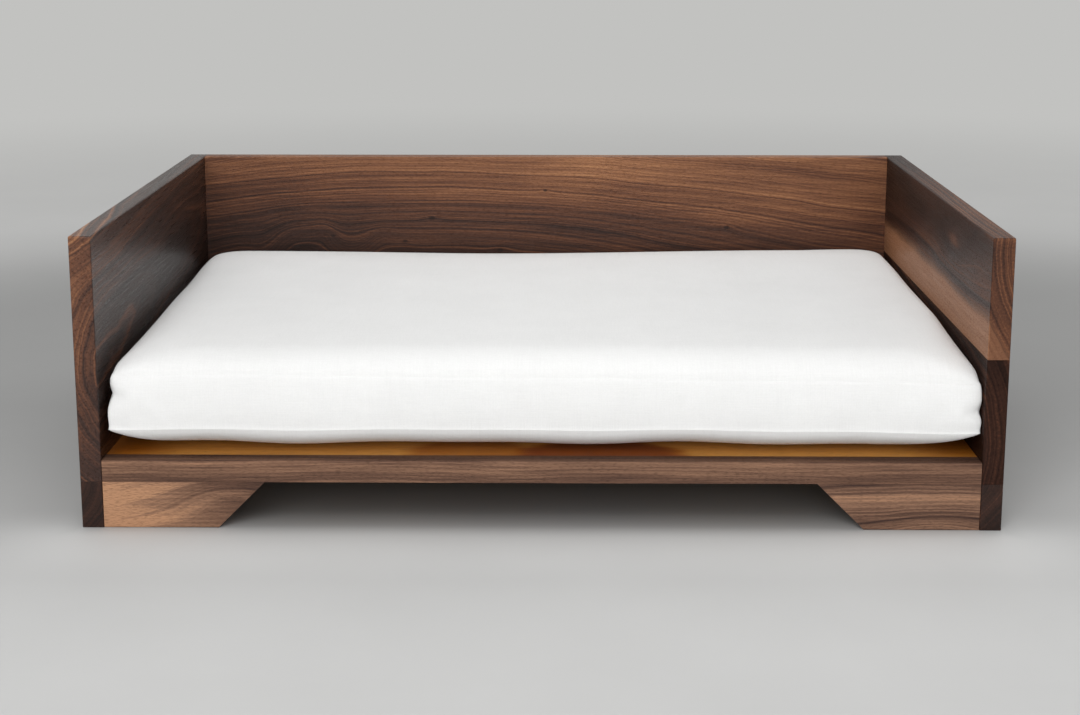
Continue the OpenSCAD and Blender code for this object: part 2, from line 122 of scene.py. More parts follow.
class Graph:
    """The nodes of a material or of the world. Most methods add some and return their output."""

    def __init__(self, owner):
        owner.use_nodes = True
        self.owner = owner
        self.tree = owner.node_tree
        self.tree.nodes.clear()

    def feed(self, socket, value):
        if isinstance(value, Value):
            value = value.socket
        if isinstance(value, bpy.types.NodeSocket):
            self.tree.links.new(value, socket)
        else:
            socket.default_value = value

    def add(self, kind, inputs=None, **settings):
        node = self.tree.nodes.new("ShaderNode" + kind)
        for name, value in settings.items():
            setattr(node, name, value)
        for socket, value in (inputs or {}).items():
            self.feed(node.inputs[socket], value)
        return node

    def math(self, operation, *values):
        node = self.add("Math", dict(enumerate(values)), operation=operation)
        return Value(self, node.outputs[0])

    def vector(self, x, y, z=0.0):
        return self.add("CombineXYZ", {0: x, 1: y, 2: z}).outputs[0]

    def parts(self, vector):
        return [Value(self, part) for part in self.add("SeparateXYZ", {0: vector}).outputs]

    def stretched(self, vector, x, y, z):
        inputs = {0: vector, 1: (x, y, z)}
        return self.add("VectorMath", inputs, operation="MULTIPLY").outputs[0]

    def length(self, vector):
        node = self.add("VectorMath", {0: vector}, operation="LENGTH")
        return Value(self, node.outputs["Value"])

    def noise(self, vector, scale=1.0, detail=2.0, roughness=0.5, distortion=0.0):
        node = self.add("TexNoise", {
            "Vector": vector, "Scale": scale, "Detail": detail,
            "Roughness": roughness, "Distortion": distortion,
        })
        return Value(self, node.outputs[0])

    def noise_on(self, value, scale, detail, roughness=0.5):
        """Noise along one number."""
        inputs = {"W": value, "Scale": scale, "Detail": detail, "Roughness": roughness}
        return Value(self, self.add("TexNoise", inputs, noise_dimensions="1D").outputs[0])

    def step(self, value, low, high, start=0.0, end=1.0):
        """A smooth step from start, where value is at or under low, to end, from high on."""
        inputs = {0: value, 1: low, 2: high, 3: start, 4: end}
        return Value(self, self.add("MapRange", inputs, interpolation_type="SMOOTHSTEP").outputs[0])

    def mix(self, share, a, b, blend="MIX"):
        """Blends b into a. The node keeps the share within 0 and 1."""
        inputs = {0: share, 6: a, 7: b}
        return self.add("Mix", inputs, data_type="RGBA", blend_type=blend).outputs[2]

    def ramp(self, value, stops):
        node = self.add("ValToRGB", {0: value})
        elements = node.color_ramp.elements
        while len(elements) < len(stops):
            elements.new(0.5)
        for element, (place, colour) in zip(elements, stops):
            element.position = place
            element.color = colour
        return node.outputs[0]

    def place(self):
        return self.add("TexCoord").outputs["Object"]

    def facing(self):
        """The surface's own direction, in the object's axes."""
        return self.parts(self.add("TexCoord").outputs["Normal"])

    def seen(self):
        """1 for what the eye, gloss or glass sees, and 0 for light that falls on something."""
        path = self.add("LightPath").outputs
        seen = self.math("MAXIMUM", path["Is Camera Ray"], path["Is Glossy Ray"])
        return self.math("MAXIMUM", seen, path["Is Transmission Ray"])

    def bump(self, height, distance):
        inputs = {"Height": height, "Distance": distance, "Strength": 1.0}
        return self.add("Bump", inputs).outputs[0]

    def finish(self, colour, roughness, normal, **fixed):
        """The shader itself. What is fixed is the same all over the surface."""
        inputs = {"Base Color": colour, "Roughness": roughness, "Normal": normal}
        shader = self.add("BsdfPrincipled", inputs)
        for name, value in fixed.items():
            shader.inputs[name.replace("_", " ")].default_value = value
        return self.show(shader, "OutputMaterial")

    def show(self, shader, kind):
        self.add(kind, {0: shader.outputs[0]})
        return self.owner


def new_material(name):
    return Graph(bpy.data.materials.new(name))


def centred(noise, size):
    """A noise of mean one half, as a deviation of up to half of size."""
    return (noise - 0.5) * size


def colour(red, green, blue):
    """A colour written in 0 to 255, as the linear colour that the nodes take."""
    def linear(c):
        c /= 255
        return c / 12.92 if c <= 0.04045 else ((c + 0.055) / 1.055) ** 2.4
    return (linear(red), linear(green), linear(blue), 1.0)


# Wood

PORE_LENGTH = 0.005
PORE_WIDTH = 0.0005
FIBRE_LENGTH = 0.06
FIBRE_WIDTH = 0.0018
STREAK = 0.016
FINE_RING = 0.0026
PLY = 0.0014
STOPS = (0.0, 0.3, 0.55, 0.8, 1.0)


def stops(*colours):
    return [(place, colour(*mixed)) for place, mixed in zip(STOPS, colours)]


WALNUT = stops((31, 17, 12), (58, 35, 26), (97, 60, 41), (138, 92, 62), (170, 120, 82))
GREY_WALNUT = stops((31, 21, 18), (60, 42, 36), (100, 73, 59), (142, 107, 85), (178, 134, 102))
SAPWOOD = colour(163, 116, 85)


def walnut(
    name, along, pith, middle=(0.0, 0.0, 0.15), slope=(0.0, 0.0), bow=(0.0, 0.0), wave=0.006,
    warp=0.005, ring=0.004, tone=0.5, contrast=1.0, drift=(0.0, 0.0, 0.0), sap=None, hills=(),
    knots=(), dark_spots=(), seed=0.0, gloss=0.22, rough=0.4, end=-0.08, tints=WALNUT,
):
    """Oiled walnut, cut from a log whose growth rings run round a pith line in space.

    along is the axis of the grain. The other figures are given along the grain, upwards and
    across: middle is where slope, bow and drift are measured from, pith the pith line's height
    and depth there, and drift how the colour lightens, partly as the wood's own tone and partly
    as painted light and shade. ring is a growth ring's width. Places on a board are (along, up).
    hills bend the rings away from the pith round one: (*place, length, height, rise). dark_spots
    darken one, or lighten it where their depth is below 0: figure in the wood, and on some boards
    painted shade or a painted highlight along an edge. knots are (*place, radius). sap is how far
    from the pith the sapwood starts, and the width of its soft border."""
    g = new_material(f"walnut_{name}")
    x, y, z = g.parts(g.place())
    u, w = (x, y) if along == "x" else (y, x)
    run = u - middle[0]
    grain = g.vector(u + seed, z, w)

    # the distance from the pith line, bent by slow waves, by the hills and by the knots
    def from_pith(value, k, salt):
        slow = g.noise_on(u + (seed + salt), 3.0, 2.0)
        return value - (run * run * bow[k] + run * slope[k] + pith[k] + centred(slow, 2 * wave))

    def off(place, up, length, height):
        """How far off a place is, in lengths along the grain and heights across it."""
        return g.length(g.vector((u - place) * (1 / length), (z - up) * (1 / height)))

    def near(*spot):
        """1 at a place, fading to 0 round it."""
        away = off(*spot)
        return g.math("EXPONENT", away * away * -1.0)

    radius = g.length(g.vector(from_pith(z, 0, 3.1), from_pith(w, 1, 7.7)))
    bends = g.noise(g.stretched(grain, 6.0, 22.0, 22.0), detail=3.0, roughness=0.55)
    radius += centred(bends, 2 * warp)
    for *spot, rise in hills:
        radius -= near(*spot) * rise
    eyes = []
    for place, up, size in knots:
        radius -= near(place, up, 5 * size, 2.5 * size) * (1.3 * size)
        eyes.append(g.step(off(place, up, 1.6 * size, size), 0.4, 1.1, 1.0, 0.0))

    def fibres(length, width, detail):
        """Noise drawn out along the grain, as dots on the end grain."""
        return g.noise(g.stretched(grain, 1 / length, 1 / width, 1 / width), detail=detail)

    # streaks of colour follow the rings, with fine rings and dark late wood within them
    streaks = g.noise_on(radius + seed, 1 / STREAK, 3.0, 0.65)
    fine = g.noise_on(radius + seed, 1 / FINE_RING, 2.0)
    fibre = fibres(FIBRE_LENGTH, FIBRE_WIDTH, 3.0)
    clouds = g.noise(g.stretched(grain, 4.0, 11.0, 11.0), detail=3.0, roughness=0.6)
    count = radius * (1 / ring) + streaks * 2.5 + clouds * 0.8
    late = g.math("FRACT", count) ** 4.0 * g.step(clouds, 0.35, 0.7, 0.2, 1.0)
    end_grain = g.step(abs(g.facing()[0 if along == "x" else 1]), 0.7, 0.9)
    figure = centred(streaks, 1.1) + centred(fine, 0.8) + centred(clouds, 0.6) - late * 0.2
    shade = figure * contrast * (1.0 - end_grain * 0.4) + centred(fibre, 0.45) + end_grain * end
    # the drift: partly the wood's own tone, partly painted light and shade
    shade += run * drift[0] + (z - middle[1]) * drift[1] + (w - middle[2]) * drift[2] + tone
    # the spots: figure in the wood, and on some boards painted shade or a painted highlight
    for *spot, depth in dark_spots:
        shade -= near(*spot) * depth
    tint = g.ramp(shade, tints)
    darkest = tints[0][1]
    if sap is not None:
        start, border = sap
        share = g.step(radius + centred(fibre, 0.004), start, start + border)
        darker = late * 0.35 + centred(fibre, 0.5) + centred(streaks, 0.8) + end_grain * 0.5 + 0.18
        tint = g.mix(share, tint, g.mix(darker, SAPWOOD, tints[2][1]))
    for eye in eyes:
        tint = g.mix(eye * 0.8, tint, darkest)

    # open pores: short dark dashes
    pores = g.step(fibres(PORE_LENGTH, PORE_WIDTH, 1.0), 0.5, 0.7)
    tint = g.mix(pores * 0.32, tint, darkest)
    height = fibre * 0.35 + late * 0.2 - pores
    roughness = pores * 0.2 + centred(fibre, 0.3) + rough
    return g.finish(tint, roughness, g.bump(height, 0.00014), Specular_IOR_Level=gloss)


def plywood():
    """Birch plywood with a golden oil: veneer faces, and thin crossed plies on every cut."""
    g = new_material("plywood")
    place = g.place()
    x, y, z = g.parts(place)
    figure = g.noise(g.stretched(place, 2.5, 16.0, 16.0), detail=3.0, distortion=0.6)
    lines = g.noise(g.stretched(place, 6.0, 420.0, 420.0))
    flecks = g.step(g.noise(g.stretched(place, 90.0, 1300.0, 1300.0), detail=1.0), 0.58, 0.7)
    # brown and reddish heartwood lies at the front of the golden face, feathered out along the
    # grain, and both ends of the face are darker: painted shade from the side boards and cushion
    shade = centred(figure, 0.3) + centred(lines, 0.3) + 0.62
    feathers = g.noise(g.stretched(place, 3.0, 60.0, 60.0))
    behind = g.step(y, -0.225, -0.15, 0.0, 1.3)
    for middle, half, depth in ((-0.06, 0.056, 0.26), (0.052, 0.068, 0.52)):
        away = abs((x - middle) * (1 / half)) + centred(feathers, 0.5) + behind
        shade += g.step(away, 0.8, 1.2, -depth, 0.0)
    # painted shade: the face darkens towards both ends
    shade += g.step(abs(x), 0.3, 0.365, 0.0, -0.25)
    face = g.ramp(shade, (
        (0.1, colour(125, 57, 6)), (0.36, colour(158, 91, 18)),
        (0.62, colour(196, 138, 62)), (0.9, colour(216, 160, 84)),
    ))
    face = g.mix(flecks * 0.35, face, colour(70, 36, 10))
    layers = z * (1 / PLY)
    crossed = g.step(g.math("FRACT", layers * 0.5), 0.46, 0.54)
    glue = g.step(g.math("PINGPONG", layers, 0.5), 0.0, 0.09, 1.0, 0.0)
    cut = g.mix(crossed, colour(192, 150, 98), colour(138, 98, 58))
    cut = g.mix(glue * 0.7, cut, colour(70, 44, 26))
    cut = g.mix(lines * 0.3, cut, colour(120, 82, 46))
    tint = g.mix(g.step(abs(g.facing()[2]), 0.8, 0.95), cut, face)
    return g.finish(tint, centred(lines, 0.1) + 0.42, g.bump(lines * 0.3 - flecks, 0.0001))


def pale_wood(name, dark, light, ring):
    """Unfinished softwood or beech, with straight rings."""
    g = new_material(name)
    place = g.place()
    bends = g.noise(g.stretched(place, 12.0, 12.0, 30.0))
    rows = g.parts(place)[2] + centred(bends, 0.012)
    late = g.math("FRACT", rows * (1 / ring)) ** 3.0
    lines = g.noise(g.stretched(place, 30.0, 500.0, 500.0))
    tint = g.mix(late * 0.7 + centred(lines, 0.5) + 0.15, light, dark)
    return g.finish(tint, centred(lines, 0.15) + 0.6, g.bump(lines, 0.0001))


# Metal, cloth, foam and fibre

def metal(name, base, rough):
    """Plated metal with fine brushing and a little tarnish."""
    g = new_material(name)
    place = g.place()
    brushed = g.noise(g.stretched(place, 900.0, 9000.0, 9000.0))
    tarnish = g.noise(place, scale=220.0, detail=3.0)
    tint = g.mix(g.step(tarnish, 0.35, 0.8, 0.0, 0.5), base, colour(120, 114, 104))
    roughness = centred(brushed, 0.14) + centred(tarnish, 0.1) + rough
    return g.finish(tint, roughness, g.bump(brushed, 0.00001), Metallic=1.0)


THREAD = 0.0009


def canvas(name, light, dark, thread=THREAD):
    """White cotton canvas: a plain weave along whichever axes the surface runs, with slubs."""
    g = new_material(name)
    place = g.place()
    drawn = g.noise(place, scale=18.0)
    weave = 0.0
    for axis, (along, facing) in enumerate(zip(g.parts(place), g.facing())):
        stretch = [40.0, 40.0, 40.0]
        stretch[axis] = 1 / thread
        slub = g.noise(g.stretched(place, *stretch), roughness=0.6)
        row = g.math("SINE", along * (2 * math.pi / thread) + centred(drawn, 3.0)) * 0.5 + 0.5
        flat = g.step(abs(facing), 0.35, 0.85, 1.0, 0.0)
        weave = (row * 0.55 + slub * 0.9 - 0.2) * flat + weave
    fuzz = g.noise(place, scale=700.0)
    shade = centred(drawn, 0.25) + centred(fuzz, 0.3) - weave * 0.32 + 0.62
    tint = g.mix(shade, light, dark)
    return g.finish(tint, centred(fuzz, 0.1) + 0.86, g.bump(weave + fuzz * 0.35, 0.00018),
                    Sheen_Weight=0.12, Sheen_Roughness=0.5, Specular_IOR_Level=0.3)


def nylon():
    """The coil's white plastic, a little yellowed in places."""
    g = new_material("zip_coil")
    place = g.place()
    patches = g.noise(place, scale=90.0, detail=3.0)
    grain = g.noise(place, scale=2500.0)
    tint = g.mix(g.step(patches, 0.3, 0.75), colour(236, 236, 231), colour(224, 221, 208))
    return g.finish(tint, centred(grain, 0.15) + 0.4, g.bump(grain, 0.00002))


def open_cell_foam():
    g = new_material("foam")
    place = g.place()
    node = g.add("TexVoronoi", {"Vector": place, "Scale": 900.0})
    cells = Value(g, node.outputs["Distance"])
    patches = g.noise(place, scale=25.0, detail=3.0)
    share = cells * 0.8 + centred(patches, 0.5)
    tint = g.mix(share, colour(216, 205, 168), colour(240, 233, 208))
    return g.finish(tint, centred(patches, 0.1) + 0.85, g.bump(cells, 0.0004))


def polyester_fibre():
    g = new_material("fibre")
    place = g.place()
    tufts = g.noise(place, scale=60.0, detail=4.0, roughness=0.7, distortion=1.5)
    hairs = g.noise(g.stretched(place, 150.0, 900.0, 900.0), detail=3.0, distortion=2.0)
    share = centred(tufts, 1.2) + centred(hairs, 0.8) + 0.4
    tint = g.mix(share, colour(246, 247, 248), colour(214, 217, 221))
    height = tufts + hairs * 0.4
    return g.finish(tint, centred(hairs, 0.1) + 0.8, g.bump(height, 0.0012), Sheen_Weight=0.3)


# Pieces

def coat(thing, material):
    thing.data.materials.clear()
    thing.data.materials.append(material)


def add_piece(name, mesh, body, material, node):
    """A finished piece of the bed, which rides on a body in place of a CAD node."""
    piece = add_object(name, mesh)
    coat(piece, material)
    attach(piece, body)
    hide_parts(node)
    return piece


def to_mesh(bm, name):
    mesh = bpy.data.meshes.new(name)
    bm.normal_update()
    bm.to_mesh(mesh)
    bm.free()
    return mesh


def add_solid(name, bm, body, material, node):
    """A piece whose rounded edges shade smoothly, while the flats beside them stay flat."""
    piece = add_piece(name, to_mesh(bm, name), body, material, node)
    piece.data.shade_smooth()
    modifier = piece.modifiers.new("flat faces", "WEIGHTED_NORMAL")
    modifier.weight = 100
    return piece


def block(low, high):
    bm = bmesh.new()
    bmesh.ops.create_cube(bm, size=1.0)
    low, high = Vector(low), Vector(high)
    bm.transform(Matrix.Translation((low + high) / 2) @ Matrix.Diagonal((*(high - low), 1.0)))
    return bm


def bevel(bm, edges, offset, segments, clamp=True):
    bmesh.ops.bevel(
        bm, geom=edges, offset=offset, segments=segments, profile=0.5, affect="EDGES",
        clamp_overlap=clamp,
    )


def softened(bm, ease, steps=2, least=35):
    """Bevels the edges that turn by more than the least angle, in degrees."""
    keen = [e for e in bm.edges if e.is_manifold and e.calc_face_angle(0.0) > math.radians(least)]
    bevel(bm, keen, ease, steps)
    return bm


# Boards of the frame: a block within the CAD node's box, its arrises sanded round

EASE = 0.0014
CRISP = 0.00022
ROUND_STEPS = 3
TOUCH = 1e-5
FOOT_FLOOR = 0.117
inner_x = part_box("back_panel")[1].x
inner_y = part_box("back_panel")[0].y
rail_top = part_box("front_rail")[1].z
half_w = cad_high.x
half_d = cad_high.y


def is_at(value, place):
    return abs(value - place) < TOUCH


def sanded(bm, is_eased):
    """Rounds the edges that is_eased picks by their two ends, then takes the keenness off the rest."""
    bevel(bm, [e for e in bm.edges if is_eased(*(v.co for v in e.verts))], EASE, ROUND_STEPS)
    return softened(bm, CRISP, 1, 40)


def board(name, node, is_eased, material, cut_at_y=None):
    bm = block(*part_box(node))
    if cut_at_y is not None:
        everything = bm.verts[:] + bm.edges[:] + bm.faces[:]
        bmesh.ops.bisect_plane(bm, geom=everything, plane_co=(0, cut_at_y, 0), plane_no=(0, 1, 0))
    add_solid(name, sanded(bm, is_eased), "frame", material, node)


def side_is_eased(side):
    """The eased edges of one side, -1 for the left: both at the front, the rear outer, the top."""
    def is_eased(a, b):
        if is_at(a.x, b.x) and is_at(a.y, b.y):
            return is_at(a.y, -half_d) or is_at(a.y, half_d) and is_at(a.x, side * half_w)
        level = is_at(a.z, b.z) and is_at(a.z, cad_high.z)
        behind = min(a.y, b.y) > inner_y - TOUCH and all(is_at(p.x, side * inner_x) for p in (a, b))
        return level and not behind and not (is_at(a.y, inner_y) and is_at(b.y, inner_y))
    return is_eased


def top_is_eased(top):
    """The eased edges of a board across the bed: the two long ones at its top."""
    return lambda a, b: is_at(a.z, top) and is_at(b.z, top) and is_at(a.y, b.y)


def foot(node, side, end, across, material):
    """A foot with its sloping cut. across is True for one that runs along X, under the rail."""
    bm = block(*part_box(node))
    axis = 0 if across else 1
    cut = (half_w, half_d)[axis] - FOOT_FLOOR
    for v in bm.verts:
        if is_at(v.co.z, 0) and abs(v.co[axis]) < cut:
            v.co[axis] = (side, end)[axis] * cut

    def is_eased(a, b):
        if across:
            return all(is_at(p.y, end * half_d) and is_at(p.z, 0) for p in (a, b))
        upright = is_at(a.x, b.x) and is_at(a.y, b.y)
        return upright and is_at(a.y, end * half_d) and (is_at(a.x, side * half_w) or end < 0)

    add_solid(f"{node}_board", sanded(bm, is_eased), "frame", material, node)


def make_frame():
    # left side board: its drift paints light and shade, lighter towards the front and the top, and
    # darker on the inner face than on the outer one
    board(
        "left_side_board", "left_side_panel", side_is_eased(-1),
        walnut("left_side", "y", (0.16, -0.30), middle=(-0.1, 0.16, -0.384),
               slope=(0.10, 0.03), ring=0.0046, tone=0.27, contrast=1.4,
               drift=(-0.65, 0.9, -5.0), dark_spots=((-0.254, 0.06, 0.05, 0.03, 0.14),),
               seed=1.9, gloss=0.32, rough=0.3, end=0.14),
        cut_at_y=inner_y,
    )
    # right upper board: its drift paints shade, darker towards the rear and on the inner face, and its
    # last spot is a painted highlight along the top edge
    board(
        "right_side_top_board", "right_side_upper_board", side_is_eased(1),
        walnut("right_top", "y", (0.25, 0.523), middle=(-0.254, 0.2, 0.384),
               wave=0.003, warp=0.003, ring=0.0045, tone=0.4, contrast=1.3,
               drift=(-0.6, 0.0, 5.0), sap=(0.1595, 0.006), seed=4.7, gloss=0.18, end=0.1,
               dark_spots=((0.02, 0.202, 0.12, 0.012, -0.12), (-0.02, 0.184, 0.2, 0.010, 0.12),
                           (0.0, 0.256, 5.0, 0.005, -0.2)),
               hills=((-0.10, 0.215, 0.06, 0.02, 0.005), (0.06, 0.225, 0.08, 0.016, 0.004))),
        cut_at_y=inner_y,
    )
    # right lower board: its drift paints shade, the inner face darker than the outer one
    board(
        "right_side_low_board", "right_side_lower_board", side_is_eased(1),
        walnut("right_low", "y", (0.085, 0.25), middle=(0.0, 0.1, 0.384),
               slope=(0.03, 0.02), warp=0.003, ring=0.0045, tone=0.2,
               drift=(0.0, 0.0, 5.0), seed=9.1, gloss=0.08, rough=0.5, end=0.0),
    )
    # back board: its upward drift paints light and shade, the board lightening strongly towards its
    # top above the cushion's shade; its spots are partly figure in the wood
    board(
        "back_board", "back_panel", top_is_eased(cad_high.z),
        walnut("back", "x", (-0.12, 0.36), middle=(-0.10, 0.18, 0.244),
               bow=(-0.12, 0.0), warp=0.006, ring=0.0052, tone=0.45, contrast=0.7,
               drift=(0.22, 3.6, 0.0), seed=2.9,
               dark_spots=((-0.28, 0.155, 0.12, 0.05, 0.15), (0.28, 0.246, 0.15, 0.018, 0.13),
                           (0.02, 0.236, 0.2, 0.02, -0.08), (0.28, 0.2, 0.12, 0.02, -0.11),
                           (-0.3, 0.213, 0.08, 0.02, 0.07), (0.0, 0.176, 0.12, 0.015, 0.07)),
               hills=((-0.13, 0.13, 0.33, 0.10, 0.068), (-0.27, 0.16, 0.035, 0.03, 0.016),
                      (-0.215, 0.14, 0.03, 0.04, -0.014), (-0.31, 0.15, 0.02, 0.03, -0.012),
                      (-0.245, 0.172, 0.012, 0.014, 0.009), (-0.18, 0.165, 0.015, 0.012, 0.007)),
               knots=((-0.155, 0.160, 0.0022), (-0.125, 0.186, 0.0028), (-0.05, 0.150, 0.0026),
                      (-0.235, 0.166, 0.002), (0.0, 0.217, 0.0018), (0.2, 0.176, 0.0026))),
    )
    # front rail: its first spot is painted shade over the rail's top face and the top 2 to 3 mm of its
    # front
    board(
        "front_rail_board", "front_rail", top_is_eased(rail_top),
        walnut("rail", "x", (-0.03, -0.215), middle=(0.0, 0.05, -0.244),
               slope=(0.012, 0.01), ring=0.0035, tone=0.63, contrast=0.6,
               dark_spots=((0.0, rail_top + 0.0017, 5.0, 0.003, 0.3), (-0.3, 0.05, 0.14, 0.1, 0.06)),
               seed=6.2, gloss=0.12, rough=0.5, tints=GREY_WALNUT),
    )
    # the tan foot lightens towards its outer end and the floor: partly the wood's own tone, partly
    # painted light
    tan = walnut("tan_foot", "x", (-0.03, -0.2), middle=(-0.32, 0.02, -0.244),
                 slope=(0.15, 0.05), ring=0.006, tone=0.86, contrast=0.6,
                 drift=(-4.4, -2.4, 0.0), seed=3.3, gloss=0.12, tints=GREY_WALNUT,
                 hills=((-0.27, 0.03, 0.05, 0.02, 0.014),))
    brown = walnut("brown_foot", "x", (0.12, -0.21), middle=(0.32, 0.02, -0.244),
                   slope=(0.02, 0.01), ring=0.0036, tone=0.67, contrast=0.7,
                   seed=8.4, gloss=0.15, tints=GREY_WALNUT,
                   hills=((0.335, -0.004, 0.04, 0.018, -0.009),))
    rear = walnut("rear_feet", "x", (0.10, 0.29), slope=(0.03, 0.02), tone=0.48, seed=5.5)
    under_left = walnut("left_feet", "y", (0.06, -0.44), slope=(0.03, 0.02), tone=0.24,
                        seed=7.1)
    under_right = walnut("right_feet", "y", (0.07, 0.34), slope=(0.03, 0.02), tone=0.22,
                         seed=1.9)
    foot("front_left_foot", -1, -1, True, tan)
    foot("front_right_foot", 1, -1, True, brown)
    foot("rear_left_foot", -1, 1, True, rear)
    foot("rear_right_foot", 1, 1, True, rear)
    for side, hand, material in ((-1, "left", under_left), (1, "right", under_right)):
        foot(f"front_{hand}_side_foot", side, -1, False, material)
        foot(f"rear_{hand}_side_foot", side, 1, False, material)


def dress_hidden_parts():
    """CAD nodes whose shape is right only get a finished material."""
    softwood = pale_wood("softwood", colour(176, 128, 76), colour(222, 190, 142), 0.0035)
    beech = pale_wood("beech", colour(180, 132, 90), colour(212, 172, 128), 0.0018)
    zinc = metal("zinc_steel", colour(196, 192, 180), 0.32)
    corners = [f"{end}_{hand}" for end in ("front", "rear") for hand in ("left", "right")]
    for slot, material, nodes in (
        ("plywood", plywood(), ["deck_panel"]),
        ("softwood", softwood, [f"{corner}_corner_block" for corner in corners]),
        ("beech", beech, ["back_panel_dowels", "foot_dowels"]),
        ("zinc_steel", zinc, ["deck_pocket_screws", "corner_block_screws"]),
    ):
        for node in nodes:
            coat(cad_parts[node], material)


# Cushion: one closed grid over the cover, whose lines follow the seams and the zip's channel

CELL = 0.006
SEAM_ROWS = (0.0, 0.0015, 0.004, 0.008, 0.013, 0.018)
BOXING_ROWS = (0.0, 0.0015, 0.0045, 0.009, 0.0135)
CORNER_R = 0.018
CORNER_SPREAD = 0.6
TOP_REACH = 0.040
BOTTOM_REACH = 0.077
SEAM_DRAW = 0.004
SEAM_WAVER = 0.0005
DRAW_FADE = 0.070
BOXING_SWELL = 0.0025
CROWN = 0.003
HIGH_SEAM_RISE = 0.0017
HIGH_SEAM_TILT = 0.0031
LOW_SEAM_FALL = 0.0027
REAR_RISE = 0.0026
REAR_RIGHT_RISE = 0.0020
REAR_HOLLOW = 0.0026
FRONT_SLOPE = 0.006
FRONT_SLOPE_REACH = 0.18
CORNER_FOLD = 0.003
CORNER_BULGE = 0.0012
LOW_CORNER_SPREAD = 0.003
FRONT_ROUND = 0.35
RIGHT_LEAN = 0.0056
LEFT_LEAN = 0.0045
PRESSED_REACH = 0.014
WALL_ROOM = 0.0004
COVER_THICK = 0.0012
SEAM_LINE = 0.0012
SEAM_LINE_FADE = 0.03
LOW_SEAM_OUT = 0.0008
HIGH_SEAM_IN = 0.0009
WRAP_DEPTH = 0.0026
CHANNEL_END = 0.310

top_low, top_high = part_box("cover_top_panel")
bottom_low, bottom_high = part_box("cover_bottom_panel")
cushion_middle = (top_low + top_high) / 2
seam_half_w = (top_high.x - top_low.x) / 2
seam_half_d = (top_high.y - top_low.y) / 2
high_seam = top_low.z
low_seam = bottom_high.z
deck_rest = bottom_low.z
plateau = top_high.z
channel_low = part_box("zip_lower_strip")[1].z
channel_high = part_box("zip_upper_strip")[0].z
strip_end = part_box("zip_upper_strip")[1].x
zip_z = (channel_low + channel_high) / 2
rear_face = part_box("zip_upper_strip")[1].y


def lines_across(half):
    """Grid lines from one seam to the other, close together by the seams."""
    reach = half - SEAM_ROWS[-1]
    steps = round(2 * reach / CELL)
    middle = [-reach + 2 * reach * i / steps for i in range(steps + 1)]
    left = [row - half for row in SEAM_ROWS[:-1]]
    return np.array(left + middle + [-x for x in reversed(left)])


def boxing_levels():
    """Rows up the boxing, from 0 at the lower seam to 1, with the channel's edges among them."""
    rise = high_seam - low_seam
    low = [*BOXING_ROWS, channel_low - low_seam]
    return np.array([*low, rise / 2, *(rise - row for row in reversed(low))]) / rise


def rounded(x, y, share=1.0):
    """Moves points of a sharp-cornered rectangle into one with round corners, or part of the way."""
    a = np.clip((abs(x) - (seam_half_w - CORNER_R)) / CORNER_R, 0, 1)
    b = np.clip((abs(y) - (seam_half_d - CORNER_R)) / CORNER_R, 0, 1)
    straight_x = np.minimum(abs(x), seam_half_w - CORNER_R)
    straight_y = np.minimum(abs(y), seam_half_d - CORNER_R)
    in_x = 1 - share + share * np.sqrt(1 - b * b / 2)
    in_y = 1 - share + share * np.sqrt(1 - a * a / 2)
    return (
        np.sign(x) * (straight_x + CORNER_R * a * in_x),
        np.sign(y) * (straight_y + CORNER_R * b * in_y),
    )


def from_edge(x, y):
    """Distance in from the seam. Lines of equal distance get rounder corners further in."""
    ex = seam_half_w - abs(x)
    ey = seam_half_d - abs(y)
    c = 1 + CORNER_SPREAD
    a2 = 2 * c * c - CORNER_SPREAD ** 2
    b2 = 4 * CORNER_R * c - 2 * c * (ex + ey) - 2 * CORNER_R * CORNER_SPREAD
    c2 = CORNER_R ** 2 - 2 * CORNER_R * (ex + ey) + ex * ex + ey * ey
    root = (-b2 + np.sqrt(np.maximum(b2 * b2 - 4 * a2 * c2, 0))) / (2 * a2)
    nearest = np.minimum(ex, ey)
    in_corner = np.maximum(ex, ey) < CORNER_R + c * np.maximum(root, 0)
    return np.maximum(np.where(in_corner, root, nearest), 0)


def smoothstep(value, low, high):
    t = np.clip((value - low) / (high - low), 0, 1)
    return t * t * (3 - 2 * t)


def near_seam(place, half, reach):
    """0 further in than reach from the seam, which is at half, and 1 at it."""
    return smoothstep(place, half - reach, half)


def quarter(share):
    """A quarter ellipse: 0 at the seam, 1 where the panel lies flat."""
    return np.sqrt(1 - (1 - np.clip(share, 0, 1)) ** 2)


